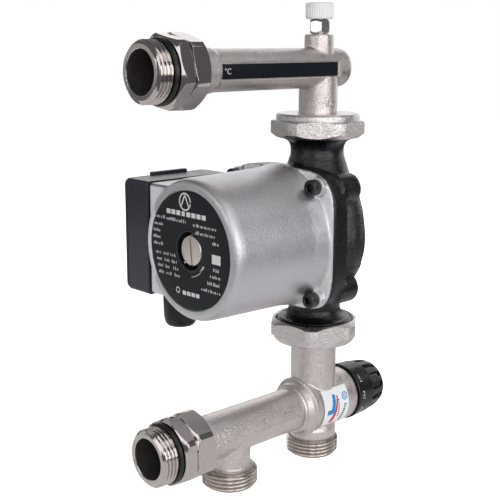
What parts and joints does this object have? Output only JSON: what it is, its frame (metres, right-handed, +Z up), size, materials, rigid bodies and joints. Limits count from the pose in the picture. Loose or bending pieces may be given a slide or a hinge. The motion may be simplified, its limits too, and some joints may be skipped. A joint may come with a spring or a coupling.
{
  "type": "underfloor heating manifold",
  "caption": "Pump and mixing-valve unit for an underfloor heating manifold: threaded flow and return bars with an air vent, union nuts, circulator and thermostatic knob.",
  "frame": {"origin": "centre of the return (lower) nipple's end face, on the return bar's axis", "axes": "+X along the return bar towards the pump axis and the mixing knob, +Z up from the return bar to the flow bar, +Y towards the terminal box"},
  "size_m": [0.186, 0.1164, 0.2808],
  "materials": {
    "cast_nickel": "nickel-plated brass casting, sand-blasted satin",
    "shiny_nickel": "nickel-plated brass, machined and bright",
    "cast_iron_black": "cast iron under glossy black paint, slightly pebbled",
    "motor_aluminium": "die-cast aluminium, fine satin",
    "black_oxide": "black oxide steel",
    "label_black": "printed film, satin black with pale marks",
    "sticker_white": "printed film, white with a blue and a red arrow",
    "black_rubber": "black rubber",
    "gasket_fibre": "compressed fibre sheet",
    "white_plastic": "white moulded plastic, knurled",
    "steel": "plain steel",
    "copper": "copper",
    "ceramic": "sintered ceramic",
    "impeller_plastic": "glass-filled plastic",
    "box_plastic": "blue-black moulded plastic, fine grain",
    "grey_plastic": "grey moulded plastic",
    "brass": "machined brass",
    "knob_plastic": "black moulded plastic with white dial numbers"
  },
  "bodies": {
    "manifold": {"flow_bar": "cast_nickel", "thermometer_strip": "label_black", "air_vent_body": "shiny_nickel", "air_vent_washer": "black_rubber", "flow_union_gasket": "gasket_fibre", "return_union_gasket": "gasket_fibre", "volute_housing": "cast_iron_black", "housing_gasket": "black_rubber", "stator_housing": "motor_aluminium", "flange_screw_1": "black_oxide", "flange_screw_2": "black_oxide", "flange_screw_3": "black_oxide", "flange_screw_4": "black_oxide", "nameplate": "label_black", "stator_core": "steel", "stator_winding_front": "copper", "stator_winding_rear": "copper", "rotor_can": "steel", "front_bearing": "ceramic", "bearing_plate": "steel", "rear_bearing": "ceramic", "terminal_box_base": "box_plastic", "terminal_box_cover": "box_plastic", "cover_screw": "steel", "speed_switch": "grey_plastic", "terminal_block": "grey_plastic", "capacitor": "grey_plastic", "gland_body": "box_plastic", "gland_seal": "black_rubber", "gland_nut": "box_plastic", "return_bar": "cast_nickel", "mixing_valve_body": "cast_nickel", "valve_sticker": "sticker_white", "valve_bonnet": "brass", "valve_bonnet_oring": "black_rubber", "spindle_oring": "black_rubber", "return_spring": "steel"},
    "flow_nipple": {"flow_nipple": "shiny_nickel", "flow_face_oring": "black_rubber", "flow_spigot_oring": "black_rubber"},
    "return_nipple": {"return_nipple": "shiny_nickel", "return_face_oring": "black_rubber", "return_spigot_oring": "black_rubber"},
    "flow_union_nut": {"flow_union_nut": "cast_nickel"},
    "return_union_nut": {"return_union_nut": "cast_nickel"},
    "air_vent_cap": {"air_vent_cap": "white_plastic"},
    "vent_plug": {"vent_plug": "shiny_nickel", "vent_plug_oring": "black_rubber"},
    "pump_rotor": {"shaft": "ceramic", "rotor": "steel", "impeller": "impeller_plastic"},
    "speed_selector": {"speed_selector": "box_plastic"},
    "mixing_knob": {"mixing_knob": "knob_plastic", "knob_screw": "steel", "knob_cap": "knob_plastic", "valve_spindle": "brass"},
    "mixing_piston": {"mixing_piston": "brass", "wax_element": "copper"}
  },
  "joints": [
    {"name": "flow_nipple_turn", "type": "hinge", "parent": "manifold", "child": "flow_nipple", "pos_m": [0, 0, 0.21], "axis": [1, 0, 0], "continuous": true},
    {"name": "return_nipple_turn", "type": "hinge", "parent": "manifold", "child": "return_nipple", "pos_m": [0, 0, 0], "axis": [1, 0, 0], "continuous": true},
    {"name": "flow_union_nut_turn", "type": "hinge", "parent": "manifold", "child": "flow_union_nut", "pos_m": [0.132, 0, 0.175], "axis": [0, 0, 1], "continuous": true},
    {"name": "return_union_nut_turn", "type": "hinge", "parent": "manifold", "child": "return_union_nut", "pos_m": [0.132, 0, 0.051], "axis": [0, 0, 1], "continuous": true},
    {"name": "air_vent_cap_turn", "type": "hinge", "parent": "manifold", "child": "air_vent_cap", "pos_m": [0.132, 0, 0.243], "axis": [0, 0, 1], "range_deg": [0, 360]},
    {"name": "vent_plug_turn", "type": "hinge", "parent": "manifold", "child": "vent_plug", "pos_m": [0.031, 0, 0.113], "axis": [-1, 0, 0], "range_deg": [0, 360]},
    {"name": "pump_rotor_spin", "type": "hinge", "parent": "manifold", "child": "pump_rotor", "pos_m": [0.07, 0, 0.113], "axis": [1, 0, 0], "continuous": true},
    {"name": "speed_selector_turn", "type": "hinge", "parent": "manifold", "child": "speed_selector", "pos_m": [0.084, 0.07, 0.094], "axis": [0, 1, 0], "range_deg": [0, 90]},
    {"name": "mixing_knob_turn", "type": "hinge", "parent": "manifold", "child": "mixing_knob", "pos_m": [0.17, 0, 0], "axis": [1, 0, 0], "range_deg": [0, 270]},
    {"name": "mixing_piston_slide", "type": "slide", "parent": "manifold", "child": "mixing_piston", "axis": [-1, 0, 0], "range_m": [0, 0.00241], "deforming": ["return_spring"]}
  ],
  "couplings": [
    {"joint": "mixing_piston_slide", "follows": "mixing_knob_turn", "m_per_rad": 0.00051}
  ]
}
